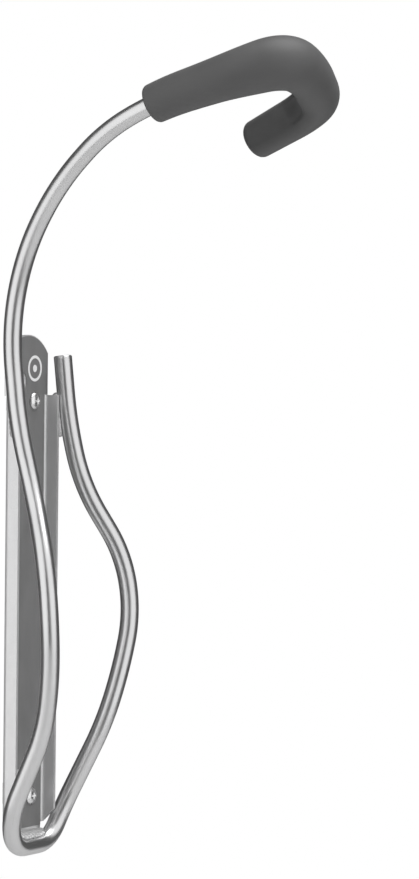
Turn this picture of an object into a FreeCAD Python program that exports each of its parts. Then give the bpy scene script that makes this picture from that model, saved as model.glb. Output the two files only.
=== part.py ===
"""Bicycle wall rack: one bent steel rod on a wall channel, with a rubber-covered hook.

Frame: X to the right along the wall, Y into the wall, Z up, in millimetres. The wall is the
plane Y = 0, and the origin is on the back of the channel, on its centre line, midway between
the two wall screws. "Out" is the distance in front of the wall, which is -Y.
"""
import FreeCAD
import Part
import Sketcher
import math
import os
from FreeCAD import Placement, Rotation, Vector

# ---------------------------------------------------------------- driving dimensions

SIZES = {
    "rod_diameter": 6.5,
    "plate_width": 27.0,
    "plate_thickness": 1.2,
    "channel_depth": 6.1,
    "channel_top": 72.0,
    "channel_bottom": -80.0,
    "bend_outer": 2.2,
    "bend_inner": 1.0,
    "ear_top": 93.4,
    "ear_radius": 17.1,
    "tongue_bottom": -87.0,
    "tongue_corner": 5.5,
    "flange_relief": 4.8,
    "hole_diameter": 4.8,
    "hole_offset": 4.25,
    "screw_spacing": 140.0,
    "hole_stagger": 7.0,
    "label_thickness": 0.3,
    "label_margin": 0.4,
    "label_slot_width": 22.0,
    "label_bottom": -81.0,
    "label_hole": 6.5,
    "mark_out": 0.1,
    "mark_height": 81.5,
    "mark_radius": 4.6,
    "mark_line": 1.0,
    "screw_shank": 4.2,
    "screw_head": 6.2,
    "screw_head_height": 1.9,
    "screw_length": 41.0,
    "screw_slot": 0.9,
    "screw_slot_depth": 1.3,
    "plug_diameter": 8.0,
    "plug_length": 35.0,
    "plug_bore": 4.3,
    "plug_slit": 1.2,
    "weld_pitch": 1.9,
    "weld_side_wide": 1.9,
    "weld_side_thick": 1.9,
    "weld_side_height": 65.0,
    "weld_side_beyond": 1.4,
    "weld_side_behind": 2.9,
    "weld_foot_wide": 3.5,
    "weld_foot_thick": 2.0,
    "weld_foot_above": 2.75,
    "weld_foot_behind": 1.0,
    "weld_foot_slope": 29.64,
    "bore_gap": 0.05,
    "sleeve_start": 66.2,
    "tip_wall": 3.0,
    "loop_end": 86.0,
}

# Bends of the rod's left side, as corners of its centre line from the foot to the hook:
# name, X, out from the wall, height. The loop's right side mirrors the first eight.
BENDS = [
    ("foot", -12.0, 4.5, -87.0),
    ("ankle", -18.0, 7.0, -74.0),
    ("calf", -20.5, 22.0, -44.0),
    ("bow_low", -24.0, 26.5, -25.0),
    ("bow_mid", -28.0, 28.5, -5.0),
    ("bow_high", -26.5, 25.5, 15.5),
    ("joint_low", -16.8, 14.0, 40.0),
    ("joint_high", -16.8, 8.0, 62.0),
    ("waist", -16.8, 4.3, 95.5),
    ("neck", -19.5, 11.3, 121.7),
    ("shoulder", -23.5, 25.6, 143.3),
    ("reach", -27.5, 50.2, 166.4),
    ("arm", -28.0, 69.0, 173.3),
    ("hook_in", -26.0, 97.9, 182.1),
    ("turn_near", -16.5, 111.5, 187.0),
    ("turn_mid", -1.0, 111.5, 183.6),
    ("turn_far", 18.5, 106.1, 176.2),
    ("hook_out", 26.5, 96.5, 171.7),
    ("tip", 27.5, 75.2, 161.5),
]
LOOP_BENDS = 8                                   # foot to joint_high, mirrored on the right

# The sleeve's radius at fractions of its length: a slim mouth, fat over the bend.
SLEEVE_RADII = [(0.0, 6.8), (0.2, 7.6), (0.4, 9.3), (0.55, 8.3), (0.7, 7.8), (0.85, 7.3), (1.0, 6.8)]
SLEEVE_SECTIONS = 19

SIDE_WELD_RIPPLES = 7
FOOT_WELD_RIPPLES = 11


def fill_sheet(doc):
    """Write every driving dimension to the sheet, one alias to a row."""
    sheet = doc.addObject("Spreadsheet::Sheet", "dims")
    rows = list(SIZES.items())
    for name, x, out, up in BENDS:
        rows += [(f"{name}_x", x), (f"{name}_out", out), (f"{name}_up", up)]
    rows += [(f"sleeve_radius_{i}", radius) for i, (_, radius) in enumerate(SLEEVE_RADII)]
    for row, (alias, value) in enumerate(rows, start=1):
        sheet.set(f"A{row}", alias)
        sheet.set(f"B{row}", str(value))
        sheet.setAlias(f"B{row}", alias)
    doc.recompute()
    return sheet


# ---------------------------------------------------------------- helpers

def new_body(doc, label):
    body = doc.addObject("PartDesign::Body", label)
    body.Label = label
    return body


def new_sketch(body, name, plane, offset=0.0):
    """A sketch on one of the body's origin planes, moved along that plane's normal."""
    sketch = body.newObject("Sketcher::SketchObject", name)
    support = next(f for f in body.Origin.OriginFeatures if f.Role == plane)
    sketch.AttachmentSupport = (support, "")
    sketch.MapMode = "FlatFace"
    sketch.AttachmentOffset = Placement(Vector(0, 0, offset), Rotation())
    return sketch


def bind_distance(sketch, kind, first, second, value, name, expression):
    """A named distance between two (geometry, point) pairs, driven by the sheet."""
    index = sketch.addConstraint(Sketcher.Constraint(kind, *first, *second, value))
    sketch.renameConstraint(index, name)
    sketch.setExpression(f"Constraints.{name}", expression)


def add_rectangle(sketch, name, width, height, x, y, expressions):
    """A rectangle whose width, height and corner (x, y from the origin) follow expressions.

    The corner is the lower left one, and x and y are given as distances down to it, so both
    are positive when it lies left of and below the origin.
    """
    right = -x + width
    top = -y + height
    corners = [Vector(-x, -y), Vector(right, -y), Vector(right, top), Vector(-x, top)]
    first = sketch.GeometryCount
    for i in range(4):
        sketch.addGeometry(Part.LineSegment(corners[i], corners[(i + 1) % 4]))
    for i in range(4):
        sketch.addConstraint(Sketcher.Constraint("Coincident", first + i, 2, first + (i + 1) % 4, 1))
    for i in (0, 2):
        sketch.addConstraint(Sketcher.Constraint("Horizontal", first + i))
        sketch.addConstraint(Sketcher.Constraint("Vertical", first + i + 1))
    origin = (-1, 1)
    low_left = (first, 1)
    bind_distance(sketch, "DistanceX", low_left, (first, 2), width, f"{name}_width", expressions[0])
    side = first + 1
    bind_distance(sketch, "DistanceY", (side, 1), (side, 2), height, f"{name}_height", expressions[1])
    bind_distance(sketch, "DistanceX", low_left, origin, x, f"{name}_x", expressions[2])
    bind_distance(sketch, "DistanceY", low_left, origin, y, f"{name}_y", expressions[3])


def add_circle(sketch, name, x, y, radius, expressions):
    """A circle at (x, y) whose place and radius follow expressions; x and y may be negative."""
    index = sketch.addGeometry(Part.Circle(Vector(x, y), Vector(0, 0, 1), radius))
    origin = (-1, 1)
    centre = (index, 3)
    placing = [("DistanceX", x, "x", expressions[0]), ("DistanceY", y, "y", expressions[1])]
    for kind, value, axis, expression in placing:
        if value == 0:
            sketch.addConstraint(Sketcher.Constraint("PointOnObject", *centre, -2))
        elif value > 0:
            bind_distance(sketch, kind, origin, centre, value, f"{name}_{axis}", expression)
        else:
            bind_distance(sketch, kind, centre, origin, -value, f"{name}_{axis}", expression)
    constraint = sketch.addConstraint(Sketcher.Constraint("Radius", index, radius))
    sketch.renameConstraint(constraint, f"{name}_radius")
    sketch.setExpression(f"Constraints.{name}_radius", expressions[2])


def add_arch(sketch, name, half, base, top, radius, expressions):
    """A flat-sided panel with a round top, symmetric about the vertical axis."""
    shoulder = top - radius + math.sqrt(radius ** 2 - half ** 2)
    first = sketch.GeometryCount
    sketch.addGeometry(Part.LineSegment(Vector(-half, base), Vector(half, base)))
    sketch.addGeometry(Part.LineSegment(Vector(half, base), Vector(half, shoulder)))
    arc = Part.Arc(Vector(half, shoulder), Vector(0, top), Vector(-half, shoulder))
    sketch.addGeometry(arc)
    sketch.addGeometry(Part.LineSegment(Vector(-half, shoulder), Vector(-half, base)))
    for i in range(4):
        sketch.addConstraint(Sketcher.Constraint("Coincident", first + i, 2, first + (i + 1) % 4, 1))
    sketch.addConstraint(Sketcher.Constraint("Symmetric", first, 1, first, 2, -2))
    sketch.addConstraint(Sketcher.Constraint("Vertical", first + 1))
    sketch.addConstraint(Sketcher.Constraint("Vertical", first + 3))
    sketch.addConstraint(Sketcher.Constraint("PointOnObject", first + 2, 3, -2))
    origin = (-1, 1)
    bind_distance(sketch, "DistanceX", (first, 1), (first, 2), 2 * half, f"{name}_width", expressions[0])
    bind_distance(sketch, "DistanceY", origin, (first, 1), base, f"{name}_base", expressions[1])
    centre = (first + 2, 3)
    bind_distance(sketch, "DistanceY", origin, centre, top - radius, f"{name}_centre", expressions[2])
    constraint = sketch.addConstraint(Sketcher.Constraint("Radius", first + 2, radius))
    sketch.renameConstraint(constraint, f"{name}_radius")
    sketch.setExpression(f"Constraints.{name}_radius", expressions[3])


def add_polygon(sketch, points):
    """A closed outline of straight edges, held in place point by point."""
    for i, point in enumerate(points):
        following = points[(i + 1) % len(points)]
        sketch.addGeometry(Part.LineSegment(Vector(*point), Vector(*following)))
    for i in range(len(points)):
        sketch.addConstraint(Sketcher.Constraint("Coincident", i, 2, (i + 1) % len(points), 1))
    for i in range(len(points)):
        sketch.addConstraint(Sketcher.Constraint("Block", i))


def new_pad(body, sketch, name, expression, reverse=False):
    pad = body.newObject("PartDesign::Pad", name)
    pad.Profile = sketch
    pad.Reversed = reverse
    pad.setExpression("Length", expression)
    return pad


def through_pocket(body, sketch, name):
    """Cut the sketch right through the body, both ways from its plane."""
    pocket = body.newObject("PartDesign::Pocket", name)
    pocket.Profile = sketch
    pocket.Type = "ThroughAll"
    pocket.Midplane = True
    return pocket


def upright_edges(shape, out, half):
    """Names of the vertical edges at one distance out, on both sides of the centre line."""
    names = []
    for i, edge in enumerate(shape.Edges, start=1):
        box = edge.BoundBox
        upright = box.ZLength > 50 and box.XLength < 0.01 and box.YLength < 0.01
        if upright and abs(box.YMin + out) < 0.01 and abs(abs(box.XMin) - half) < 0.01:
            names.append(f"Edge{i}")
    return names


# ---------------------------------------------------------------- the rod's centre line

def bend_point(sheet, name, mirrored=False):
    x = sheet.get(f"{name}_x")
    side = -x if mirrored else x
    return Vector(side, -sheet.get(f"{name}_out"), sheet.get(f"{name}_up"))


def route_edges(corners):
    """Straight runs between the corners, joined by arcs as large as the runs allow.

    Two bends share the run between them half and half; the runs at the ends belong to one bend.
    """
    edges = []
    previous_end = corners[0]
    last = len(corners) - 2
    for i in range(1, last + 1):
        corner = corners[i]
        incoming = corners[i - 1] - corner
        outgoing = corners[i + 1] - corner
        room_in = incoming.Length if i == 1 else incoming.Length / 2
        room_out = outgoing.Length if i == last else outgoing.Length / 2
        tangent = min(room_in, room_out)
        turn = math.pi - incoming.getAngle(outgoing)
        radius = tangent / math.tan(turn / 2)
        incoming.normalize()
        outgoing.normalize()
        start = corner + incoming * tangent
        end = corner + outgoing * tangent
        inward = incoming + outgoing
        inward.normalize()
        middle = corner + inward * (radius / math.cos(turn / 2) - radius)
        if (start - previous_end).Length > 0.01:
            edges.append(Part.LineSegment(previous_end, start).toShape())
        edges.append(Part.Arc(start, middle, end).toShape())
        previous_end = end
    if (corners[-1] - previous_end).Length > 0.01:
        edges.append(Part.LineSegment(previous_end, corners[-1]).toShape())
    return edges


def rod_corners(sheet):
    """Corners of the whole centre line: right arm's end, loop, left arm, hook, tip."""
    right = [bend_point(sheet, name, mirrored=True) for name, *_ in BENDS[:LOOP_BENDS]]
    left = [bend_point(sheet, name) for name, *_ in BENDS]
    waist = bend_point(sheet, "waist", mirrored=True)
    along = (sheet.get("loop_end") - right[-1].z) / (waist.z - right[-1].z)
    end = right[-1] + (waist - right[-1]) * along
    return [end] + right[::-1] + left


def point_along(edges, distance):
    """The point and the unit tangent at a distance along a chain of edges."""
    for edge in edges:
        if distance <= edge.Length:
            parameter = edge.getParameterByLength(distance)
            return edge.valueAt(parameter), edge.tangentAt(parameter)
        distance -= edge.Length
    last = edges[-1]
    return last.valueAt(last.LastParameter), last.tangentAt(last.LastParameter)


def carried_frames(stations):
    """Rotations that follow the tangents without twisting, one for each station."""
    tangent = stations[0][1]
    across = Vector(0, 0, 1).cross(tangent)
    across.normalize()
    frames = []
    for _, direction in stations:
        across = across - direction * across.dot(direction)
        across.normalize()
        frames.append(Rotation(across, direction.cross(across), direction, "ZXY"))
    return frames


# ---------------------------------------------------------------- the rod and its sleeve

def make_rod(doc, sheet, edges):
    """One round bar, bent in one piece from the right arm's end to the tip of the hook."""
    route = doc.addObject("Part::Feature", "rod_route")
    route.Shape = Part.Wire(edges)
    start, tangent = point_along(edges, 0.0)
    section = doc.addObject("Part::Circle", "rod_section")
    section.Placement = Placement(start, Rotation(Vector(0, 0, 1), tangent))
    section.setExpression("Radius", "dims.rod_diameter / 2")
    rod = doc.addObject("Part::Sweep", "hook_rod")
    rod.Sections = [section]
    rod.Spine = (route, [f"Edge{i + 1}" for i in range(len(edges))])
    rod.Solid = True
    rod.Frenet = False
    rod.Label = "hook_rod"
    return rod


def sleeve_radius_expression(share):
    """The radius at a share of the sleeve's length, between the two nearest given radii."""
    for i, (low, high) in enumerate(zip(SLEEVE_RADII, SLEEVE_RADII[1:])):
        if share <= high[0]:
            weight = (share - low[0]) / (high[0] - low[0])
            before = f"dims.sleeve_radius_{i} * {1 - weight:.6f}"
            after = f"dims.sleeve_radius_{i + 1} * {weight:.6f}"
            return f"{before} + {after}"
    return f"dims.sleeve_radius_{len(SLEEVE_RADII) - 1}"


def sleeve_mouth(edges, out):
    """The distance along the rod at which the hook's arm reaches a distance out."""
    mouth = 0.0
    point, _ = point_along(edges, mouth)
    while -point.y < out or point.z < 150:
        mouth += 0.5
        point, _ = point_along(edges, mouth)
    return mouth


def make_sleeve(doc, sheet, edges):
    """The moulded rubber over the hook: a lofted skin, less the bore that the rod fills."""
    total = sum(edge.Length for edge in edges)
    mouth = sleeve_mouth(edges, sheet.get("sleeve_start"))
    length = total - mouth
    shares = [i / (SLEEVE_SECTIONS - 1) for i in range(SLEEVE_SECTIONS)]
    stations = [point_along(edges, mouth + share * length) for share in shares]
    sections = []
    for i, (share, (point, _), frame) in enumerate(zip(shares, stations, carried_frames(stations))):
        circle = doc.addObject("Part::Circle", f"sleeve_section_{i}")
        circle.Placement = Placement(point, frame)
        circle.setExpression("Radius", sleeve_radius_expression(share))
        sections.append(circle)
    skin = doc.addObject("Part::Loft", "sleeve_skin")
    skin.Sections = sections
    skin.Solid = True
    skin.Ruled = False

    bore_route = doc.addObject("Part::Feature", "bore_route")
    lead = point_along(edges, mouth - 2.0)
    bore_edges = trimmed(edges, mouth - 2.0, total - sheet.get("tip_wall"))
    bore_route.Shape = Part.Wire(bore_edges)
    bore_section = doc.addObject("Part::Circle", "bore_section")
    bore_section.Placement = Placement(lead[0], Rotation(Vector(0, 0, 1), lead[1]))
    bore_section.setExpression("Radius", "dims.rod_diameter / 2 + dims.bore_gap")
    bore = doc.addObject("Part::Sweep", "sleeve_bore")
    bore.Sections = [bore_section]
    bore.Spine = (bore_route, [f"Edge{i + 1}" for i in range(len(bore_edges))])
    bore.Solid = True
    bore.Frenet = False

    doc.recompute()
    rounded = doc.addObject("Part::Fillet", "sleeve_ends")
    rounded.Base = skin
    rounded.Edges = [(rim_edge(skin.Shape, stations[0][0]), 1.2, 1.2),
                     (rim_edge(skin.Shape, stations[-1][0]), 2.6, 2.6)]

    sleeve = doc.addObject("Part::Cut", "hook_sleeve")
    sleeve.Base = rounded
    sleeve.Tool = bore
    sleeve.Label = "hook_sleeve"
    return sleeve


def rim_edge(shape, centre):
    """Number of the closed edge centred on a point."""
    for i, edge in enumerate(shape.Edges, start=1):
        if edge.isClosed() and (edge.CenterOfMass - centre).Length < 0.5:
            return i
    raise RuntimeError(f"no rim at {centre}")


def trimmed(edges, start, stop):
    """The stretch of a chain of edges between two distances along it."""
    kept = []
    travelled = 0.0
    for edge in edges:
        low = max(start - travelled, 0.0)
        high = min(stop - travelled, edge.Length)
        if high - low > 1e-4:
            curve = edge.Curve
            first = edge.getParameterByLength(low)
            last = edge.getParameterByLength(high)
            kept.append(curve.toShape(first, last))
        travelled += edge.Length
    return kept


# ---------------------------------------------------------------- the wall channel

def hole_places(sheet):
    """Names, centres and sheet expressions of the four screw holes."""
    offset = sheet.get("hole_offset")
    half = sheet.get("screw_spacing") / 2
    stagger = sheet.get("hole_stagger")
    half_text = "dims.screw_spacing / 2"
    return [
        ("upper_right", offset, half, "dims.hole_offset", half_text),
        ("lower_right", offset, -half, "dims.hole_offset", half_text),
        ("upper_left", -offset, half + stagger, "dims.hole_offset", f"{half_text} + dims.hole_stagger"),
        ("lower_left", -offset, -half + stagger, "dims.hole_offset", f"{half_text} - dims.hole_stagger"),
    ]


def make_channel(doc, sheet):
    """Folded steel channel, open to the front, with a round ear above and a tongue below."""
    width = sheet.get("plate_width")
    depth = sheet.get("channel_depth")
    thickness = sheet.get("plate_thickness")
    top = sheet.get("channel_top")
    bottom = sheet.get("channel_bottom")
    body = new_body(doc, "wall_channel")

    outer = new_sketch(body, "channel_outline", "XZ_Plane")
    add_rectangle(outer, "outer", width, top - bottom, width / 2, -bottom,
                  ("dims.plate_width", "dims.channel_top - dims.channel_bottom",
                   "dims.plate_width / 2", "-dims.channel_bottom"))
    block = new_pad(body, outer, "channel_block", "dims.channel_depth")
    doc.recompute()

    folds = body.newObject("PartDesign::Fillet", "outer_folds")
    folds.Base = (block, upright_edges(block.Shape, 0.0, width / 2))
    folds.setExpression("Radius", "dims.bend_outer")
    doc.recompute()

    inner = new_sketch(body, "channel_inside", "XZ_Plane", depth)
    inner.setExpression("AttachmentOffset.Base.z", "dims.channel_depth")
    inside = width - 2 * thickness
    add_rectangle(inner, "inner", inside, top - bottom + 2, inside / 2, 1 - bottom,
                  ("dims.plate_width - 2 * dims.plate_thickness",
                   "dims.channel_top - dims.channel_bottom + 2",
                   "dims.plate_width / 2 - dims.plate_thickness", "1 - dims.channel_bottom"))
    groove = body.newObject("PartDesign::Pocket", "channel_groove")
    groove.Profile = inner
    groove.setExpression("Length", "dims.channel_depth - dims.plate_thickness")
    doc.recompute()

    inner_folds = body.newObject("PartDesign::Fillet", "inner_folds")
    inner_folds.Base = (groove, upright_edges(groove.Shape, thickness, inside / 2))
    inner_folds.setExpression("Radius", "dims.bend_inner")
    doc.recompute()

    ends = new_sketch(body, "ear_and_tongue", "XZ_Plane")
    add_arch(ends, "ear", width / 2, top, sheet.get("ear_top"), sheet.get("ear_radius"),
             ("dims.plate_width", "dims.channel_top", "dims.ear_top - dims.ear_radius", "dims.ear_radius"))
    tongue = sheet.get("tongue_bottom")
    flat = width - 2 * sheet.get("bend_outer")
    add_rectangle(ends, "tongue", flat, bottom - tongue, flat / 2, -tongue,
                  ("dims.plate_width - 2 * dims.bend_outer", "dims.channel_bottom - dims.tongue_bottom",
                   "dims.plate_width / 2 - dims.bend_outer", "-dims.tongue_bottom"))
    flat_ends = new_pad(body, ends, "ear_and_tongue_pad", "dims.plate_thickness")
    doc.recompute()

    corners = []
    for i, edge in enumerate(flat_ends.Shape.Edges, start=1):
        box = edge.BoundBox
        if abs(box.ZMax - tongue) < 0.01 and box.XLength < 0.01 and abs(box.YLength - thickness) < 0.01:
            corners.append(f"Edge{i}")
    rounded = body.newObject("PartDesign::Fillet", "tongue_corners")
    rounded.Base = (flat_ends, corners)
    rounded.setExpression("Radius", "dims.tongue_corner")
    doc.recompute()

    corners = []
    for i, edge in enumerate(rounded.Shape.Edges, start=1):
        middle = edge.BoundBox.Center
        in_front = edge.BoundBox.XLength > 1 and abs(middle.y + depth) < 0.01
        if in_front and abs(middle.z - bottom) < 0.01:
            corners.append(f"Edge{i}")
    relief = body.newObject("PartDesign::Chamfer", "flange_reliefs")
    relief.Base = (rounded, corners)
    relief.setExpression("Size", "dims.flange_relief")
    doc.recompute()

    holes = new_sketch(body, "screw_holes", "XZ_Plane")
    radius = sheet.get("hole_diameter") / 2
    for name, x, z, x_text, z_text in hole_places(sheet):
        add_circle(holes, name, x, z, radius, (x_text, z_text, "dims.hole_diameter / 2"))
    through_pocket(body, holes, "screw_hole_cuts")
    return body


def make_label(doc, sheet):
    """Thin dark facing on the ear and in the channel, punched wider round each hole."""
    body = new_body(doc, "face_label")
    margin = sheet.get("label_margin")
    base = sheet.get("channel_top") + margin
    half = sheet.get("plate_width") / 2 - margin
    slot = sheet.get("label_slot_width")
    low = sheet.get("label_bottom")

    ear = new_sketch(body, "ear_facing", "XZ_Plane", sheet.get("plate_thickness"))
    ear.setExpression("AttachmentOffset.Base.z", "dims.plate_thickness")
    add_arch(ear, "ear", half, base, sheet.get("ear_top") - margin, sheet.get("ear_radius") - margin,
             ("dims.plate_width - 2 * dims.label_margin", "dims.channel_top + dims.label_margin",
              "dims.ear_top - dims.ear_radius", "dims.ear_radius - dims.label_margin"))
    new_pad(body, ear, "ear_facing_pad", "dims.label_thickness")

    strip = new_sketch(body, "channel_facing", "XZ_Plane", sheet.get("plate_thickness"))
    strip.setExpression("AttachmentOffset.Base.z", "dims.plate_thickness")
    add_rectangle(strip, "strip", slot, base + 1 - low, slot / 2, -low,
                  ("dims.label_slot_width",
                   "dims.channel_top + dims.label_margin + 1 - dims.label_bottom",
                   "dims.label_slot_width / 2", "-dims.label_bottom"))
    new_pad(body, strip, "channel_facing_pad", "dims.label_thickness")
    doc.recompute()

    holes = new_sketch(body, "facing_holes", "XZ_Plane")
    radius = sheet.get("label_hole") / 2
    for name, x, z, x_text, z_text in hole_places(sheet):
        add_circle(holes, name, x, z, radius, (x_text, z_text, "dims.label_hole / 2"))
    through_pocket(body, holes, "facing_hole_cuts")
    return body


def make_mark(doc, sheet):
    """A plain printed ring and dot on the ear, above the screws: a generic mark, with no wording."""
    body = new_body(doc, "wheel_mark")
    body.AllowCompound = True
    front = sheet.get("plate_thickness") + sheet.get("label_thickness")
    height = sheet.get("mark_height")
    sketch = new_sketch(body, "mark_rings", "XZ_Plane", front)
    sketch.setExpression("AttachmentOffset.Base.z", "dims.plate_thickness + dims.label_thickness")
    radius = sheet.get("mark_radius")
    line = sheet.get("mark_line")
    across = sheet.get("hole_offset")
    rings = [("rim", radius, "dims.mark_radius"),
             ("rim_inside", radius - line, "dims.mark_radius - dims.mark_line"),
             ("hub", 1.3 * line, "1.3 * dims.mark_line")]
    for name, size, text in rings:
        add_circle(sketch, name, across, height, size, ("dims.hole_offset", "dims.mark_height", text))
    new_pad(body, sketch, "mark_pad", "dims.mark_out")
    return body


# ---------------------------------------------------------------- wall fixings

def pattern_down(body, features, name):
    """A second copy of the features, one screw spacing lower."""
    pattern = body.newObject("PartDesign::LinearPattern", name)
    pattern.Originals = features
    axis = next(f for f in body.Origin.OriginFeatures if f.Role == "Z_Axis")
    pattern.Direction = (axis, [""])
    pattern.Reversed = True
    pattern.Occurrences = 2
    pattern.setExpression("Length", "dims.screw_spacing")
    body.Tip = pattern
    return pattern


def revolve_along_screw(doc, sheet, body, name, outline):
    """Turn an outline, given as (distance into the wall, radius), about the upper screw's axis."""
    sketch = new_sketch(body, f"{name}_outline", "XY_Plane", sheet.get("screw_spacing") / 2)
    sketch.setExpression("AttachmentOffset.Base.z", "dims.screw_spacing / 2")
    offset = sheet.get("hole_offset")
    add_polygon(sketch, [(offset + radius, into) for into, radius in outline])
    axis = sketch.addGeometry(Part.LineSegment(Vector(offset, -5), Vector(offset, 5)), True)
    sketch.addConstraint(Sketcher.Constraint("Vertical", axis))
    bind_distance(sketch, "DistanceX", (-1, 1), (axis, 1), offset, "axis_x", "dims.hole_offset")
    turned = body.newObject("PartDesign::Revolution", name)
    turned.Profile = sketch
    turned.ReferenceAxis = (sketch, ["Axis0"])
    turned.Angle = 360
    return turned


def make_screws(doc, sheet):
    """Two pan-head wall screws with a cross recess, heads on the channel's front."""
    body = new_body(doc, "wall_screws")
    body.AllowCompound = True
    seat = -sheet.get("plate_thickness")
    head = sheet.get("screw_head") / 2
    height = sheet.get("screw_head_height")
    shank = sheet.get("screw_shank") / 2
    end = seat + sheet.get("screw_length")
    point = 5.0
    outline = [(seat - height, 0.0)]
    for angle in (math.radians(35), math.radians(60), math.radians(80)):
        outline.append((seat - height * math.cos(angle), head * math.sin(angle)))
    outline += [(seat, head), (seat, shank), (end - point, shank), (end, 0.0)]
    turned = revolve_along_screw(doc, sheet, body, "screw_turned", outline)
    doc.recompute()

    cross = new_sketch(body, "recess_outline", "XZ_Plane", -seat + height)
    arm = head * 0.62
    slot = sheet.get("screw_slot") / 2
    centre = (sheet.get("hole_offset"), sheet.get("screw_spacing") / 2)
    plus = [(-slot, -arm), (slot, -arm), (slot, -slot), (arm, -slot), (arm, slot), (slot, slot),
            (slot, arm), (-slot, arm), (-slot, slot), (-arm, slot), (-arm, -slot), (-slot, -slot)]
    add_polygon(cross, [(centre[0] + x, centre[1] + y) for x, y in plus])
    recess = body.newObject("PartDesign::Pocket", "recess")
    recess.Profile = cross
    recess.setExpression("Length", "dims.screw_slot_depth")
    doc.recompute()
    pattern_down(body, [turned, recess], "screw_pair")
    return body


def make_plugs(doc, sheet):
    """Two ribbed nylon wall plugs, slit along their length, that the screws spread."""
    body = new_body(doc, "wall_plugs")
    body.AllowCompound = True
    radius = sheet.get("plug_diameter") / 2
    bore = sheet.get("plug_bore") / 2
    length = sheet.get("plug_length")
    mouth = 0.2
    rib_pitch = 3.0
    outline = [(mouth, bore), (mouth, radius), (6.0, radius)]
    into = 6.0
    while into + rib_pitch < length - 3:
        outline += [(into, radius - 0.5), (into + rib_pitch, radius)]
        into += rib_pitch
    outline += [(into, radius - 0.5), (length, radius - 1.2), (length, bore)]
    turned = revolve_along_screw(doc, sheet, body, "plug_turned", outline)
    doc.recompute()

    slit = new_sketch(body, "slit_outline", "XY_Plane", sheet.get("screw_spacing") / 2)
    half = sheet.get("plug_slit") / 2
    offset = sheet.get("hole_offset")
    near = 8.0
    far = length + 1
    left = offset - half
    right = offset + half
    add_polygon(slit, [(left, near), (right, near), (right, far), (left, far)])
    cut = body.newObject("PartDesign::Pocket", "slit")
    cut.Profile = slit
    cut.setExpression("Length", "dims.plug_diameter + 2")
    cut.Midplane = True
    doc.recompute()
    pattern_down(body, [turned, cut], "plug_pair")
    return body


# ---------------------------------------------------------------- welds

def make_weld(doc, label, centre, frame, ripples, size, tools):
    """A bead of overlapping ripples in a row along the seam, less the steel that it joins.

    The frame's Z runs along the seam, and size names the sheet's half width and half thickness.
    """
    seam = frame.multVec(Vector(0, 0, 1))
    pitch = SIZES["weld_pitch"]
    beads = []
    for i in range(ripples):
        ripple = doc.addObject("Part::Ellipsoid", f"{label}_ripple_{i}")
        ripple.setExpression("Radius1", "dims.weld_pitch * 1.25")
        ripple.setExpression("Radius2", f"dims.{size}_wide")
        ripple.setExpression("Radius3", f"dims.{size}_thick")
        ripple.Placement = Placement(centre + seam * pitch * (i - (ripples - 1) / 2), frame)
        beads.append(ripple)
    piece = doc.addObject("Part::MultiFuse", f"{label}_beads")
    piece.Shapes = beads
    for i, tool in enumerate(tools):
        last = i == len(tools) - 1
        cut = doc.addObject("Part::Cut", label if last else f"{label}_cut_{i}")
        cut.Base = piece
        cut.Tool = tool
        piece = cut
    piece.Label = label
    return piece


def make_welds(doc, sheet, rod, channel, label):
    """Beads behind the arms, against both flanges, and one over the foot, against the tongue."""
    beyond = sheet.get("plate_width") / 2 + sheet.get("weld_side_beyond")
    seam_low = bend_point(sheet, "joint_high")
    seam_high = bend_point(sheet, "waist")
    direction = seam_high - seam_low
    direction.normalize()
    rise = sheet.get("weld_side_height") - seam_low.z
    middle = seam_low + direction * (rise / direction.z)
    frame = Rotation(Vector(0, 0, 1), direction)
    tools = [rod, channel]
    welds = []
    for name, side in (("weld_left", -1), ("weld_right", 1)):
        centre = Vector(side * beyond, middle.y + sheet.get("weld_side_behind"), middle.z)
        welds.append(make_weld(doc, name, centre, frame, SIDE_WELD_RIPPLES, "weld_side", tools))

    foot = bend_point(sheet, "foot")
    back = foot.y + sheet.get("weld_foot_behind")
    centre = Vector(0, back, foot.z + sheet.get("weld_foot_above"))
    lean = math.radians(sheet.get("weld_foot_slope"))
    slope = Vector(0, -math.cos(lean), -math.sin(lean))
    frame = Rotation(slope, Vector(), Vector(1, 0, 0), "ZXY")
    tools = [rod, channel, label]
    welds.append(make_weld(doc, "weld_foot", centre, frame, FOOT_WELD_RIPPLES, "weld_foot", tools))
    return welds


# ---------------------------------------------------------------- checks and files

def check_document(doc, nodes):
    for obj in doc.Objects:
        if "Invalid" in obj.State or "Error" in obj.State:
            raise RuntimeError(f"{obj.Name} is {obj.State}")
    for node in nodes:
        shape = node.Shape
        if shape.isNull() or not shape.isValid():
            raise RuntimeError(f"{node.Label} has no valid shape")
        print(f"{node.Label:14s} solids {len(shape.Solids)}  volume {shape.Volume:10.1f} mm3")
        print(f"    box {shape.BoundBox}")


def main():
    doc = FreeCAD.newDocument("bicycle_wall_rack")
    sheet = fill_sheet(doc)
    edges = route_edges(rod_corners(sheet))

    tip_wall = sheet.get("tip_wall")
    rod_length = sum(edge.Length for edge in edges) - tip_wall
    rod = make_rod(doc, sheet, trimmed(edges, 0.0, rod_length))
    sleeve = make_sleeve(doc, sheet, edges)
    channel = make_channel(doc, sheet)
    label = make_label(doc, sheet)
    mark = make_mark(doc, sheet)
    screws = make_screws(doc, sheet)
    plugs = make_plugs(doc, sheet)
    doc.recompute()
    welds = make_welds(doc, sheet, rod, channel, label)
    doc.recompute()

    nodes = [rod, sleeve, channel, label, mark, screws, plugs] + welds
    check_document(doc, nodes)
    section = math.pi * (sheet.get("rod_diameter") / 2) ** 2
    print(f"rod: section x length {section * rod_length:.1f} mm3, volume {rod.Shape.Volume:.1f} mm3")

    os.makedirs("parts", exist_ok=True)
    for node in nodes:
        node.Shape.exportStep(f"parts/{node.Label}.step")


main()
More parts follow.
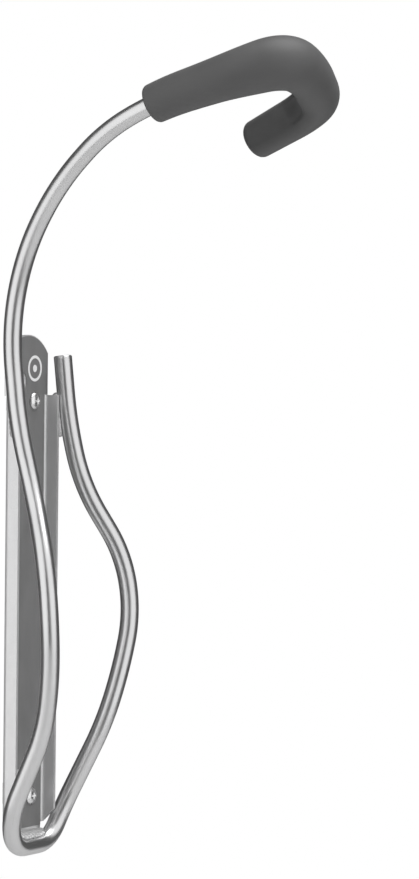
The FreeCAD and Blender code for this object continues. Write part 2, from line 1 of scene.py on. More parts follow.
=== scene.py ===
"""Looks for the bicycle wall rack, in metres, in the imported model's own frame.

X runs right along the wall, Y into the wall and Z up. The wall is the plane Y = 0.
"""

import math

import bmesh
import bpy
from mathutils import Matrix, Vector, noise


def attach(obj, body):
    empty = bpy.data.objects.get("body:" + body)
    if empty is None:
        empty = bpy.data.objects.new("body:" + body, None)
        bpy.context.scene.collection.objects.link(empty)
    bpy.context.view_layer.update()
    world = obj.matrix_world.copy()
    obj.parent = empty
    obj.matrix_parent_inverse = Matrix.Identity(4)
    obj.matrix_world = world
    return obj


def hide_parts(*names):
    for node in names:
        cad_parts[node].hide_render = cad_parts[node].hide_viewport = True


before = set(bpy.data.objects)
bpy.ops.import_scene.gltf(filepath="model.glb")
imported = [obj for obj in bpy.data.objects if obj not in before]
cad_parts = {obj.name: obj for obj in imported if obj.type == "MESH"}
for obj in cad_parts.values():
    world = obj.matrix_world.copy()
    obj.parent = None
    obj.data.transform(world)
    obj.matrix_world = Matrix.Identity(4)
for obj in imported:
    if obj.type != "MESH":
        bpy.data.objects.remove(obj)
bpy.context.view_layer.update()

MM = 0.001

# Corners of the rod's centre line, in millimetres: X, distance out from the wall, height.
LOOP = [
    (-12.0, 4.5, -87.0),
    (-18.0, 7.0, -74.0),
    (-20.5, 22.0, -44.0),
    (-24.0, 26.5, -25.0),
    (-28.0, 28.5, -5.0),
    (-26.5, 25.5, 15.5),
    (-16.8, 14.0, 40.0),
    (-16.8, 8.0, 62.0),
]
HOOK = [
    (-16.8, 4.3, 95.5),
    (-19.5, 11.3, 121.7),
    (-23.5, 26.8, 145.1),
    (-27.5, 48.1, 163.4),
    (-28.0, 69.1, 173.5),
    (-26.0, 97.9, 182.1),
    (-16.5, 111.5, 187.0),
    (-1.0, 111.5, 183.6),
    (18.5, 106.1, 176.2),
    (26.5, 96.5, 171.7),
    (27.5, 75.2, 161.5),
]
ROD_RADIUS = 3.25 * MM
LOOP_END_HEIGHT = 86.0
SLEEVE_OUT = 66.2 * MM
TIP_WALL = 3.2 * MM

# The sleeve's radius, in millimetres, at fractions of its length.
SLEEVE_RADII = [
    (0.0, 6.8),
    (0.2, 7.6),
    (0.4, 9.3),
    (0.55, 8.3),
    (0.7, 7.8),
    (0.85, 7.3),
    (1.0, 6.8),
]


# ---------------------------------------------------------------- the rod's centre line

def corner_point(corner, side=1):
    """A corner in metres, or its mirror image when side is -1."""
    x, out, up = corner
    return Vector((side * x, -out, up)) * MM


def rod_corners():
    """Corners of the whole centre line: right arm's end, loop, left arm, hook, tip."""
    right = [corner_point(c, -1) for c in LOOP]
    waist = corner_point(HOOK[0], -1)
    share = (LOOP_END_HEIGHT * MM - right[-1].z) / (waist.z - right[-1].z)
    end = right[-1].lerp(waist, share)
    return [end] + right[::-1] + [corner_point(c) for c in LOOP + HOOK]


def bent_path(corners, step):
    """Points along straight runs and the largest tangent arcs between them."""
    points = [corners[0].copy()]
    last = len(corners) - 2
    for i in range(1, last + 1):
        corner = corners[i]
        incoming = corners[i - 1] - corner
        outgoing = corners[i + 1] - corner
        room_in = incoming.length if i == 1 else incoming.length / 2
        room_out = outgoing.length if i == last else outgoing.length / 2
        tangent = min(room_in, room_out)
        turn = math.pi - incoming.angle(outgoing)
        radius = tangent / math.tan(turn / 2)
        into = incoming.normalized()
        away = outgoing.normalized()
        start = corner + into * tangent
        centre = corner + (into + away).normalized() * (radius / math.cos(turn / 2))
        add_run(points, start, step)
        count = max(2, round(radius * turn / step))
        arm = start - centre
        axis = arm.cross(corner + away * tangent - centre).normalized()
        for k in range(1, count + 1):
            points.append(centre + Matrix.Rotation(turn * k / count, 3, axis) @ arm)
    add_run(points, corners[-1], step)
    return points


def add_run(points, end, step):
    """Carry the path on in a straight line to its next point."""
    start = points[-1].copy()
    length = (end - start).length
    if length < 1e-6:
        return
    count = max(1, round(length / step))
    for k in range(1, count + 1):
        points.append(start.lerp(end, k / count))


def distances(points):
    """How far along the path each of its points lies."""
    total = [0.0]
    for a, b in zip(points, points[1:]):
        total.append(total[-1] + (b - a).length)
    return total


def resampled(points, start, stop, count):
    """Evenly spaced points between two distances along a path."""
    along = distances(points)
    result = []
    j = 0
    for i in range(count):
        s = start + (stop - start) * i / (count - 1)
        while j < len(along) - 2 and along[j + 1] < s:
            j += 1
        share = (s - along[j]) / (along[j + 1] - along[j])
        result.append(points[j].lerp(points[j + 1], share))
    return result


def tangents(points):
    result = []
    for i in range(len(points)):
        a = points[max(i - 1, 0)]
        b = points[min(i + 1, len(points) - 1)]
        result.append((b - a).normalized())
    return result


def carried(directions, first):
    """A side vector at each tangent, turned along without twist."""
    side = first
    result = []
    for direction in directions:
        side = (side - direction * side.dot(direction)).normalized()
        result.append(side)
    return result


# ---------------------------------------------------------------- mesh helpers

def make_object(name, bm, smooth=True):
    bmesh.ops.recalc_face_normals(bm, faces=bm.faces)
    mesh = bpy.data.meshes.new(name)
    bm.to_mesh(mesh)
    bm.free()
    for polygon in mesh.polygons:
        polygon.use_smooth = smooth
    obj = bpy.data.objects.new(name, mesh)
    bpy.context.scene.collection.objects.link(obj)
    return obj


def round_point(centre, side, up, angle, radius):
    return centre + (side * math.cos(angle) + up * math.sin(angle)) * radius


def bridge(bm, lower, upper):
    """Quads between two rings of vertices, in order round them."""
    faces = []
    for k in range(len(lower)):
        following = (k + 1) % len(lower)
        faces.append(bm.faces.new((lower[k], lower[following], upper[following], upper[k])))
    return faces


def add_tube(bm, centres, sides, ups, radius_at, segments):
    """Rings of vertices round a path, joined into a skin, with UVs round and along it."""
    rings = []
    for i, centre in enumerate(centres):
        ring = []
        for k in range(segments):
            angle = 2 * math.pi * k / segments
            place = round_point(centre, sides[i], ups[i], angle, radius_at(i, angle))
            ring.append(bm.verts.new(place))
        rings.append(ring)
    layer = bm.loops.layers.uv.verify()
    along = distances(centres)
    for i in range(len(rings) - 1):
        for k, face in enumerate(bridge(bm, rings[i], rings[i + 1])):
            spots = ((k, i), (k + 1, i), (k + 1, i + 1), (k, i + 1))
            for loop, (around, station) in zip(face.loops, spots):
                loop[layer].uv = (around / segments, along[station])
    return rings


def close_ring(bm, ring, centre):
    """A fan of triangles from a ring to its centre."""
    middle = bm.verts.new(centre)
    for k in range(len(ring)):
        bm.faces.new((ring[k], ring[(k + 1) % len(ring)], middle))


def apply_modifiers(obj):
    """Put the modifiers' result in the mesh."""
    bpy.context.view_layer.update()
    evaluated = obj.evaluated_get(bpy.context.evaluated_depsgraph_get())
    mesh = bpy.data.meshes.new_from_object(evaluated)
    obj.modifiers.clear()
    obj.data = mesh
    return obj


def node_copy(node, name):
    """A new piece with the node's shape, cleaned of the triangles across its flat faces."""
    bm = bmesh.new()
    bm.from_mesh(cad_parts[node].data)
    bmesh.ops.remove_doubles(bm, verts=bm.verts, dist=2e-6)
    bmesh.ops.dissolve_limit(bm, angle_limit=math.radians(1.0), verts=bm.verts, edges=bm.edges)
    obj = make_object(name, bm)
    obj.data.materials.clear()
    return obj


def soften_edges(obj, width, segments=3):
    """Round the sharp edges by a small width, as folding, punching and moulding leave them."""
    bevel = obj.modifiers.new("bevel", "BEVEL")
    bevel.width = width
    bevel.segments = segments
    bevel.limit_method = "ANGLE"
    bevel.angle_limit = math.radians(30)
    bevel.harden_normals = True
    bevel.use_clamp_overlap = True
    normals = obj.modifiers.new("normals", "WEIGHTED_NORMAL")
    normals.keep_sharp = True
    return apply_modifiers(obj)


def settle(obj, node_names, material):
    """Give a finished piece its material, its place on the body and the nodes it stands for."""
    obj.data.materials.clear()
    obj.data.materials.append(material)
    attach(obj, "root")
    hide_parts(*node_names)


# ---------------------------------------------------------------- materials

def new_material(name):
    material = bpy.data.materials.new(name)
    material.use_nodes = True
    nodes = material.node_tree.nodes
    nodes.clear()
    output = nodes.new("ShaderNodeOutputMaterial")
    shader = nodes.new("ShaderNodeBsdfPrincipled")
    material.node_tree.links.new(shader.outputs["BSDF"], output.inputs["Surface"])
    return material, shader


def add_node(material, kind, **settings):
    node = material.node_tree.nodes.new(kind)
    for key, value in settings.items():
        setattr(node, key, value)
    return node


def connect(material, source, target):
    material.node_tree.links.new(source, target)


def coordinates(material, scale=(1.0, 1.0, 1.0), kind="Object"):
    source = add_node(material, "ShaderNodeTexCoord")
    mapping = add_node(material, "ShaderNodeMapping")
    mapping.inputs["Scale"].default_value = scale
    connect(material, source.outputs[kind], mapping.inputs["Vector"])
    return mapping.outputs["Vector"]


def noise_texture(material, vector, scale, detail, roughness):
    texture = add_node(material, "ShaderNodeTexNoise")
    texture.inputs["Scale"].default_value = scale
    texture.inputs["Detail"].default_value = detail
    texture.inputs["Roughness"].default_value = roughness
    connect(material, vector, texture.inputs["Vector"])
    return texture.outputs["Fac"]


def color_ramp(material, value, stops):
    ramp = add_node(material, "ShaderNodeValToRGB")
    elements = ramp.color_ramp.elements
    while len(elements) < len(stops):
        elements.new(0.5)
    for element, (position, color) in zip(elements, stops):
        element.position = position
        element.color = (*color, 1.0)
    connect(material, value, ramp.inputs["Fac"])
    return ramp.outputs["Color"]


def value_range(material, value, low, high, from_low=0.3, from_high=0.7):
    """The value stretched to run from low to high over the stated part of its range."""
    mapper = add_node(material, "ShaderNodeMapRange")
    mapper.inputs["From Min"].default_value = from_low
    mapper.inputs["From Max"].default_value = from_high
    mapper.inputs["To Min"].default_value = low
    mapper.inputs["To Max"].default_value = high
    connect(material, value, mapper.inputs["Value"])
    return mapper.outputs["Result"]


def paint(material, shader, value, dark, light, dark_at=0.3, light_at=0.7):
    """A base colour that runs between two greys with the value."""
    tone = color_ramp(material, value, [(dark_at, grey(dark)), (light_at, grey(light))])
    connect(material, tone, shader.inputs["Base Color"])


def roughen(material, shader, value, low, high):
    """A roughness that runs between two levels with the value."""
    connect(material, value_range(material, value, low, high), shader.inputs["Roughness"])


def add_bump(material, shader, height, strength, distance):
    bump = add_node(material, "ShaderNodeBump")
    bump.inputs["Strength"].default_value = strength
    bump.inputs["Distance"].default_value = distance
    connect(material, height, bump.inputs["Height"])
    connect(material, bump.outputs["Normal"], shader.inputs["Normal"])


def grey(value):
    return (value, value, value * 1.005)


def plated_rod():
    """Satin plated bar: fine lines drawn along it under soft clouding."""
    material, shader = new_material("satin_plated_rod")
    lines = noise_texture(material, coordinates(material, (26.0, 14.0, 1.0), "UV"), 4.0, 4.0, 0.6)
    clouds = noise_texture(material, coordinates(material), 90.0, 4.0, 0.55)
    mixed = add_node(material, "ShaderNodeMix", data_type="FLOAT")
    mixed.inputs["Factor"].default_value = 0.45
    connect(material, lines, mixed.inputs["A"])
    connect(material, clouds, mixed.inputs["B"])
    paint(material, shader, mixed.outputs["Result"], 0.60, 0.68)
    roughen(material, shader, mixed.outputs["Result"], 0.26, 0.34)
    shader.inputs["Metallic"].default_value = 1.0
    add_bump(material, shader, lines, 0.05, 0.00002)
    return material


def sleeve_rubber():
    """Moulded rubber: a fine eggshell grain, slight bloom, and painted shade darkening the inside
    of the bend.
    """
    material, shader = new_material("moulded_rubber")
    place = coordinates(material)
    grain = noise_texture(material, place, 2600.0, 3.0, 0.6)
    bloom = noise_texture(material, place, 70.0, 4.0, 0.55)
    tone = color_ramp(material, bloom, [(0.3, grey(0.082)), (0.7, grey(0.092))])
    # Painted shade: the base colour is multiplied by 0.55 on the inside of the bend.
    bend_shade = painted_bend_shade_mask(material)
    shade_multiply = add_node(material, "ShaderNodeMix", data_type="RGBA", blend_type="MULTIPLY")
    shade_multiply.inputs["B"].default_value = (0.55, 0.55, 0.55, 1.0)
    connect(material, bend_shade, shade_multiply.inputs["Factor"])
    connect(material, tone, shade_multiply.inputs["A"])
    connect(material, shade_multiply.outputs["Result"], shader.inputs["Base Color"])
    roughen(material, shader, bloom, 0.54, 0.6)
    shader.inputs["Specular IOR Level"].default_value = 0.5
    shader.inputs["Sheen Weight"].default_value = 0.08
    shader.inputs["Sheen Roughness"].default_value = 0.5
    add_bump(material, shader, grain, 0.35, 0.00006)
    return material


def painted_bend_shade_mask(material):
    """A painted shade mask: one on the inside of the bend, fading to nothing round the flanks and
    toward the mouth.
    """
    source = add_node(material, "ShaderNodeTexCoord")
    split = add_node(material, "ShaderNodeSeparateXYZ")
    connect(material, source.outputs["UV"], split.inputs["Vector"])
    # The first coordinate runs once round the sleeve, with the inside of the bend at 0 and 1.
    wrapped = add_node(material, "ShaderNodeMath", operation="PINGPONG")
    wrapped.inputs[1].default_value = 0.5
    connect(material, split.outputs["X"], wrapped.inputs[0])
    inside = value_range(material, wrapped.outputs["Value"], 1.0, 0.0, 0.1, 0.24)
    beyond = value_range(material, split.outputs["Y"], 0.0, 1.0, 0.068, 0.085)
    both = add_node(material, "ShaderNodeMath", operation="MULTIPLY")
    connect(material, inside, both.inputs[0])
    connect(material, beyond, both.inputs[1])
    return both.outputs["Value"]


def silver_paint():
    """Smooth silver coat on folded sheet: fine flake, faint orange peel."""
    material, shader = new_material("silver_paint")
    place = coordinates(material)
    flake = noise_texture(material, place, 5200.0, 2.0, 0.7)
    peel = noise_texture(material, place, 420.0, 2.0, 0.5)
    paint(material, shader, flake, 0.66, 0.78, 0.35, 0.65)
    roughen(material, shader, peel, 0.36, 0.46)
    shader.inputs["Metallic"].default_value = 0.55
    add_bump(material, shader, peel, 0.12, 0.00005)
    return material


def label_film():
    """Dark grey matte film with a fine texture and faint handling marks."""
    material, shader = new_material("dark_film")
    place = coordinates(material)
    grain = noise_texture(material, place, 3200.0, 2.0, 0.6)
    marks = noise_texture(material, coordinates(material, (1.0, 1.0, 0.35)), 160.0, 5.0, 0.6)
    paint(material, shader, marks, 0.165, 0.2)
    roughen(material, shader, marks, 0.5, 0.62)
    add_bump(material, shader, grain, 0.2, 0.00003)
    return material


def printed_ink():
    """Off-white screen print, a little uneven where the ink lies thin."""
    material, shader = new_material("printed_ink")
    place = coordinates(material)
    cover = noise_texture(material, place, 2400.0, 3.0, 0.6)
    paint(material, shader, cover, 0.8, 0.9)
    roughen(material, shader, cover, 0.42, 0.55)
    add_bump(material, shader, cover, 0.15, 0.00002)
    return material


def weld_coat():
    """Silver coat over a rippled bead: a mottled tone, with painted shade making it darker in its
    hollows.
    """
    material, shader = new_material("coated_weld")
    place = coordinates(material)
    mottle = noise_texture(material, place, 900.0, 4.0, 0.65)
    # Mottle and painted shade: the coat is darker where the same noise sinks the bump.
    paint(material, shader, mottle, 0.5, 0.74)
    roughen(material, shader, mottle, 0.32, 0.5)
    shader.inputs["Metallic"].default_value = 0.5
    add_bump(material, shader, mottle, 0.4, 0.00012)
    return material


def bright_zinc():
    """Bright zinc plate with a fine crystalline haze."""
    material, shader = new_material("bright_zinc")
    place = coordinates(material)
    haze = noise_texture(material, place, 1500.0, 3.0, 0.6)
    paint(material, shader, haze, 0.68, 0.78)
    roughen(material, shader, haze, 0.2, 0.32)
    shader.inputs["Metallic"].default_value = 1.0
    add_bump(material, shader, haze, 0.1, 0.00002)
    return material


def nylon():
    """Grey moulded nylon, slightly translucent, with a faint grain."""
    material, shader = new_material("grey_nylon")
    place = coordinates(material)
    grain = noise_texture(material, place, 1800.0, 3.0, 0.5)
    tone = color_ramp(material, grain, [(0.3, (0.47, 0.47, 0.455)), (0.7, (0.54, 0.54, 0.52))])
    connect(material, tone, shader.inputs["Base Color"])
    roughen(material, shader, grain, 0.42, 0.52)
    shader.inputs["Subsurface Weight"].default_value = 0.12
    shader.inputs["Subsurface Scale"].default_value = 0.002
    add_bump(material, shader, grain, 0.15, 0.00004)
    return material


# ---------------------------------------------------------------- rod

def build_rod(path, length):
    """The bar, with a small chamfer round each sawn end."""
    chamfer = 0.35 * MM
    segments = 48
    runs = 420
    inner = [length * i / runs for i in range(1, runs)]
    stations = [0.0, chamfer] + inner + [length - chamfer, length]
    centres = [spot_along(path, s) for s in stations]
    directions = tangents(centres)
    sides = carried(directions, Vector((1, 0, 0)))
    ups = [d.cross(s) for d, s in zip(directions, sides)]
    ends = {0: ROD_RADIUS - chamfer, len(stations) - 1: ROD_RADIUS - chamfer}

    def radius_at(i, angle):
        return ends.get(i, ROD_RADIUS)

    bm = bmesh.new()
    rings = add_tube(bm, centres, sides, ups, radius_at, segments)
    close_ring(bm, rings[0], centres[0])
    close_ring(bm, rings[-1], centres[-1])
    return make_object("rod", bm)


def spot_along(path, s):
    """The point at a distance along a path, given as its (distances, points)."""
    along, points = path
    low, high = 0, len(along) - 1
    while high - low > 1:
        middle = (low + high) // 2
        if along[middle] <= s:
            low = middle
        else:
            high = middle
    share = (s - along[low]) / (along[low + 1] - along[low])
    return points[low].lerp(points[low + 1], share)


# ---------------------------------------------------------------- sleeve

def smooth_step(value, low, high):
    t = min(max((value - low) / (high - low), 0.0), 1.0)
    return t * t * (3 - 2 * t)


def eased_radius(t):
    """The sleeve's radius, in millimetres, along a smooth curve through the given ones."""
    for i, ((t0, r0), (t1, r1)) in enumerate(zip(SLEEVE_RADII, SLEEVE_RADII[1:])):
        if t <= t1 or i == len(SLEEVE_RADII) - 2:
            before = SLEEVE_RADII[max(i - 1, 0)]
            after = SLEEVE_RADII[min(i + 2, len(SLEEVE_RADII) - 1)]
            slope0 = (r1 - before[1]) / (t1 - before[0])
            slope1 = (after[1] - r0) / (after[0] - t0)
            width = t1 - t0
            u = (t - t0) / width
            start = (2 * u**3 - 3 * u**2 + 1) * r0 + (u**3 - 2 * u**2 + u) * width * slope0
            return start + (3 * u**2 - 2 * u**3) * r1 + (u**3 - u**2) * width * slope1
    return SLEEVE_RADII[-1][1]


def angle_gap(a, b):
    return abs((a - b + math.pi) % (2 * math.pi) - math.pi)


def build_sleeve(points, start, stop):
    """The moulded cover: rounded mouth with its bore, seam lines, an inset panel, a domed tip."""
    segments = 96
    count = 300
    centres = resampled(points, start, stop, count)
    directions = tangents(centres)
    # The side vector points at the middle of the hook, so angle 0 is the inside of the bend.
    middle = sum(centres[count // 2:], Vector()) / (count - count // 2)
    inward = []
    for centre, direction in zip(centres, directions):
        toward = middle - centre
        inward.append((toward - direction * toward.dot(direction)).normalized())
    ups = [d.cross(s) for d, s in zip(directions, inward)]
    length = stop - start

    def skin(i, angle):
        t = i / (count - 1)
        s = t * length
        radius = eased_radius(t) * MM
        mouth = 1.2 * MM
        if s < mouth:
            radius -= mouth - math.sqrt(max(mouth**2 - (mouth - s) ** 2, 0.0))
        tip = 2.8 * MM
        if length - s < tip:
            radius -= tip - math.sqrt(max(tip**2 - (tip - (length - s)) ** 2, 0.0))
        # A shallow panel let into the inside of the bend, where the rim rests.
        panel = smooth_step(t, 0.5, 0.56) * (1 - smooth_step(t, 0.82, 0.88))
        across = 1 - smooth_step(angle_gap(angle, 0.0), 0.62, 0.74)
        radius -= 0.8 * MM * panel * across
        # The mould's seam, a fine raised line along both flanks.
        for flank in (math.pi / 2, 3 * math.pi / 2):
            ridge = math.exp(-((angle_gap(angle, flank) * radius / (0.16 * MM)) ** 2))
            radius += 0.07 * MM * ridge
        return radius

    bm = bmesh.new()
    rings = add_tube(bm, centres, inward, ups, skin, segments)
    close_ring(bm, rings[-1], centres[-1])
    # The mouth turns in over a flat lip to the bore, which runs out of sight down the rod.
    layer = bm.loops.layers.uv.verify()
    previous = rings[0]
    for depth, radius in ((-0.02, 4.6), (0.1, 3.75), (0.5, 3.36), (6.0, 3.3)):
        centre = centres[0] + directions[0] * depth * MM
        ring = []
        for k in range(segments):
            angle = 2 * math.pi * k / segments
            place = round_point(centre, inward[0], ups[0], angle, radius * MM)
            ring.append(bm.verts.new(place))
        for k, face in enumerate(bridge(bm, previous, ring)):
            for loop in face.loops:
                loop[layer].uv = (k / segments, depth * MM)
        previous = ring
    return make_object("sleeve", bm)


# ---------------------------------------------------------------- welds

def build_weld(node, name, voxel):
    """The node's bead, remeshed and roughened a little, as molten metal sets."""
    bm = bmesh.new()
    bm.from_mesh(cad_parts[node].data)
    bmesh.ops.remove_doubles(bm, verts=bm.verts, dist=2e-6)
    obj = make_object(name, bm)
    remesh = obj.modifiers.new("remesh", "REMESH")
    remesh.mode = "VOXEL"
    remesh.voxel_size = voxel
    smooth = obj.modifiers.new("smooth", "SMOOTH")
    smooth.factor = 0.6
    smooth.iterations = 3
    apply_modifiers(obj)
    normals = [vertex.normal.copy() for vertex in obj.data.vertices]
    for vertex, normal in zip(obj.data.vertices, normals):
        place = vertex.co * 700
        vertex.co -= normal * 0.12 * MM * (0.5 + 0.5 * noise.noise(place))
    for polygon in obj.data.polygons:
        polygon.use_smooth = True
    return obj


# ---------------------------------------------------------------- screws

# In millimetres; distances into the wall are positive.
SCREW_OFFSET = 4.25
SCREW_HEIGHTS = (70.0, -70.0)
HEAD_SEAT = -1.2
HEAD_RADIUS = 3.1
HEAD_HEIGHT = 1.8
SCREW_END = 39.7


def build_screws(name, offset, heights):
    """Domed cross-recess heads on threaded shanks."""
    bm = bmesh.new()
    for height in heights:
        for obj in (build_screw_head(offset, height), build_screw_shank(offset, height)):
            bm.from_mesh(obj.data)
            bpy.data.objects.remove(obj)
    return make_object(name, bm)


def lathe_ring(bm, x, y, z, radius_at, segments):
    """A ring of vertices about a screw's axis, in millimetres."""
    ring = []
    for k in range(segments):
        angle = 2 * math.pi * k / segments
        radius = radius_at(angle)
        place = Vector((x + radius * math.cos(angle), y, z + radius * math.sin(angle)))
        ring.append(bm.verts.new(place * MM))
    return ring


def bridge_all(bm, rings):
    for lower, upper in zip(rings, rings[1:]):
        bridge(bm, lower, upper)


def build_screw_head(x, z):
    """A shallow dome with a rounded rim, a flat seat and a cross recess."""
    rim = 0.3
    corner = 0.08
    steps = 16
    dome = HEAD_HEIGHT - rim
    profile = []
    for k in range(1, steps + 1):
        a = math.pi / 2 * k / steps
        profile.append((HEAD_SEAT - rim - dome * math.cos(a), HEAD_RADIUS * math.sin(a)))
    profile += [(HEAD_SEAT - corner, HEAD_RADIUS), (HEAD_SEAT, HEAD_RADIUS - corner)]
    bm = bmesh.new()
    rings = [lathe_ring(bm, x, y, z, lambda angle, r=r: r, 64) for y, r in profile]
    bridge_all(bm, rings)
    close_ring(bm, rings[0], Vector((x, HEAD_SEAT - HEAD_HEIGHT, z)) * MM)
    close_ring(bm, rings[-1], Vector((x, HEAD_SEAT, z)) * MM)
    head = make_object("head", bm)
    cutter = build_recess(x, z, HEAD_SEAT - HEAD_HEIGHT)
    cut = head.modifiers.new("recess", "BOOLEAN")
    cut.operation = "DIFFERENCE"
    cut.solver = "EXACT"
    cut.object = cutter
    apply_modifiers(head)
    bpy.data.objects.remove(cutter)
    return head


def build_screw_shank(x, z):
    """A plain neck, then a coarse thread that runs out to a point."""
    pitch = 1.8
    segments = 40
    step = 0.18
    point = 5.0
    start = HEAD_SEAT - 0.2
    bm = bmesh.new()
    rings = []
    y = start
    while y < SCREW_END:
        taper = min(1.0, (SCREW_END - y) / point)
        core = 2.08 - 0.55 * smooth_step(y, 2.0, 5.0)

        def radius_at(angle):
            phase = (y / pitch - angle / (2 * math.pi)) % 1.0
            crest = max(0.0, 1 - abs(phase - 0.5) / 0.3)
            return max((core + (2.1 - core) * crest) * taper, 0.06)

        rings.append(lathe_ring(bm, x, y, z, radius_at, segments))
        y += step
    bridge_all(bm, rings)
    close_ring(bm, rings[0], Vector((x, start, z)) * MM)
    close_ring(bm, rings[-1], Vector((x, SCREW_END, z)) * MM)
    return make_object("shank", bm)


def build_recess(x, z, top):
    """A cross-shaped cutter that narrows as it goes in."""
    bm = bmesh.new()
    rings = []
    for depth, arm, half in ((-0.4, 1.7, 0.4), (1.35, 0.6, 0.24)):
        outline = [
            (-half, -arm), (half, -arm), (half, -half), (arm, -half),
            (arm, half), (half, half), (half, arm), (-half, arm),
            (-half, half), (-arm, half), (-arm, -half), (-half, -half),
        ]
        rings.append([bm.verts.new(Vector((x + a, top + depth, z + b)) * MM) for a, b in outline])
    bm.faces.new(rings[0])
    bm.faces.new(rings[1])
    bridge(bm, *rings)
    return make_object("recess", bm, smooth=False)


# ---------------------------------------------------------------- assemble the pieces

path_points = bent_path(rod_corners(), 0.8 * MM)
path = (distances(path_points), path_points)
total = path[0][-1]
mouth = next(s for s, p in zip(*path) if p.y < -SLEEVE_OUT and p.z > 150 * MM)

rod = build_rod(path, total - TIP_WALL)
settle(rod, ["hook_rod"], plated_rod())

sleeve = build_sleeve(path_points, mouth, total)
settle(sleeve, ["hook_sleeve"], sleeve_rubber())

channel = soften_edges(node_copy("wall_channel", "channel"), 0.18 * MM)
settle(channel, ["wall_channel"], silver_paint())

label = soften_edges(node_copy("face_label", "dark_facing"), 0.07 * MM, 2)
settle(label, ["face_label"], label_film())

mark = soften_edges(node_copy("wheel_mark", "ring_mark"), 0.03 * MM, 2)
settle(mark, ["wheel_mark"], printed_ink())

coat = weld_coat()
for node in ("weld_left", "weld_right", "weld_foot"):
    settle(build_weld(node, f"{node}_bead", 0.16 * MM), [node], coat)

screws = build_screws("screws", SCREW_OFFSET, SCREW_HEIGHTS)
settle(screws, ["wall_screws"], bright_zinc())

plugs = soften_edges(node_copy("wall_plugs", "plugs"), 0.12 * MM, 2)
settle(plugs, ["wall_plugs"], nylon())


# ---------------------------------------------------------------- stage, lights and camera

FLOOR_RADIUS = 0.7
FLOOR_HEIGHT = -0.36
ROOM_GLOW = 0.09
CAMERA_PLACE = Vector((-1200.5, -743.0, 105.2)) * MM
CAMERA_LENS = 163.8


def build_floor():
    """A plain pale floor, well below the rack."""
    bm = bmesh.new()
    bmesh.ops.create_circle(bm, cap_ends=True, segments=96, radius=FLOOR_RADIUS)
    floor = make_object("floor", bm)
    floor.location = (0.0, 0.0, FLOOR_HEIGHT)
    material, shader = new_material("pale_floor")
    cloud = noise_texture(material, coordinates(material), 6.0, 2.0, 0.5)
    tones = [(0.3, (0.86, 0.86, 0.86)), (0.7, (0.9, 0.9, 0.9))]
    tone = color_ramp(material, cloud, tones)
    connect(material, tone, shader.inputs["Base Color"])
    shader.inputs["Roughness"].default_value = 0.9
    floor.data.materials.append(material)


def build_wall_cards():
    """Two white cards in the wall's plane, left of the plate, that hide the plugs from the camera.

    Each is as small as the line of sight along its plug allows, and is seen from the front only,
    so the fixings stay in view from behind.
    """
    near = -0.012
    far = -0.0595
    bm = bmesh.new()
    for near_low, near_high, far_low, far_high in (
        (0.0656, 0.0753, 0.0669, 0.0764),
        (-0.0733, -0.0632, -0.0660, -0.0568),
    ):
        corners = [(far, far_low), (near, near_low), (near, near_high), (far, far_high)]
        bm.faces.new([bm.verts.new((x, 0.0001, z)) for x, z in corners])
    cards = make_object("wall_cards", bm, smooth=False)
    for polygon in cards.data.polygons:
        if polygon.normal.y > 0:
            polygon.flip()
    material = bpy.data.materials.new("white_card")
    material.use_nodes = True
    nodes = material.node_tree.nodes
    nodes.clear()
    output = nodes.new("ShaderNodeOutputMaterial")
    glow = nodes.new("ShaderNodeEmission")
    clear = nodes.new("ShaderNodeBsdfTransparent")
    mix = nodes.new("ShaderNodeMixShader")
    facing = nodes.new("ShaderNodeNewGeometry")
    connect(material, facing.outputs["Backfacing"], mix.inputs["Fac"])
    connect(material, glow.outputs["Emission"], mix.inputs[1])
    connect(material, clear.outputs["BSDF"], mix.inputs[2])
    connect(material, mix.outputs["Shader"], output.inputs["Surface"])
    cards.data.materials.append(material)
    cards.visible_glossy = False
    cards.visible_diffuse = False
    cards.visible_shadow = False
    cards.visible_transmission = False


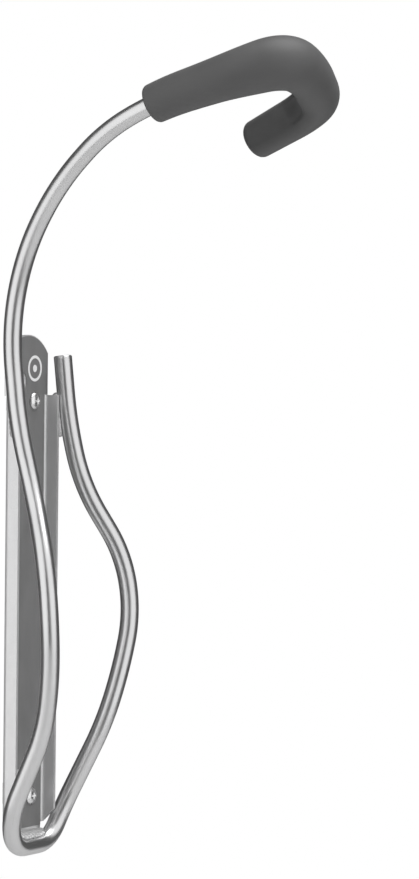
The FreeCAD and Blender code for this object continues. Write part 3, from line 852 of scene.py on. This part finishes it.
def build_world():
    """White to the camera, and a soft grey room to the lights' bounces."""
    world = bpy.data.worlds.new("studio")
    bpy.context.scene.world = world
    world.use_nodes = True
    tree = world.node_tree
    tree.nodes.clear()
    output = tree.nodes.new("ShaderNodeOutputWorld")
    seen = tree.nodes.new("ShaderNodeBackground")
    seen.inputs["Color"].default_value = (1.0, 1.0, 1.0, 1.0)
    room = tree.nodes.new("ShaderNodeBackground")
    room.inputs["Color"].default_value = (1.0, 1.0, 1.0, 1.0)
    room.inputs["Strength"].default_value = ROOM_GLOW
    mix = tree.nodes.new("ShaderNodeMixShader")
    ray = tree.nodes.new("ShaderNodeLightPath")
    tree.links.new(ray.outputs["Is Camera Ray"], mix.inputs["Fac"])
    tree.links.new(room.outputs["Background"], mix.inputs[1])
    tree.links.new(seen.outputs["Background"], mix.inputs[2])
    tree.links.new(mix.outputs["Shader"], output.inputs["Surface"])


def add_softbox(name, place, aim, size, power):
    """A rectangular light that faces the point it aims at."""
    light = bpy.data.lights.new(name, "AREA")
    light.shape = "RECTANGLE"
    light.size, light.size_y = size
    light.energy = power
    obj = bpy.data.objects.new(name, light)
    bpy.context.scene.collection.objects.link(obj)
    obj.location = place
    obj.rotation_euler = (aim - place).to_track_quat("-Z", "Y").to_euler()


def build_camera():
    """The main view, from the left and a little above through a long lens, and its directions."""
    yaw = math.radians(29.1)
    pitch = math.radians(-1.95)
    roll = math.radians(0.65)
    level = math.cos(pitch)
    forward = Vector((level * math.cos(yaw), level * math.sin(yaw), math.sin(pitch)))
    right = Vector((math.sin(yaw), -math.cos(yaw), 0.0))
    up = right.cross(forward)
    turned_right = right * math.cos(roll) + up * math.sin(roll)
    turned_up = up * math.cos(roll) - right * math.sin(roll)
    data = bpy.data.cameras.new("camera")
    data.sensor_fit = "VERTICAL"
    data.sensor_height = 36.0
    data.lens = CAMERA_LENS
    data.clip_start = 0.05
    camera = bpy.data.objects.new("camera", data)
    bpy.context.scene.collection.objects.link(camera)
    rotation = Matrix((turned_right, turned_up, -forward)).transposed()
    camera.matrix_world = Matrix.Translation(CAMERA_PLACE) @ rotation.to_4x4()
    bpy.context.scene.camera = camera
    return forward, right


build_floor()
build_wall_cards()
build_world()
forward, right = build_camera()
target = Vector((0.0, -0.05, 0.05))
front = target - forward * 0.68
above = Vector((0, 0, 0.25))
add_softbox("left_box", front - right * 0.87 + above, target, (1.6, 2.2), 13)
add_softbox("right_box", front + right * 0.87 + above, target, (1.6, 2.2), 12)
add_softbox("top_box", target + right * 0.45 + Vector((0, 0, 1.2)), target, (1.0, 1.0), 13)
bpy.context.scene.view_settings.view_transform = "Standard"

bpy.context.view_layer.update()
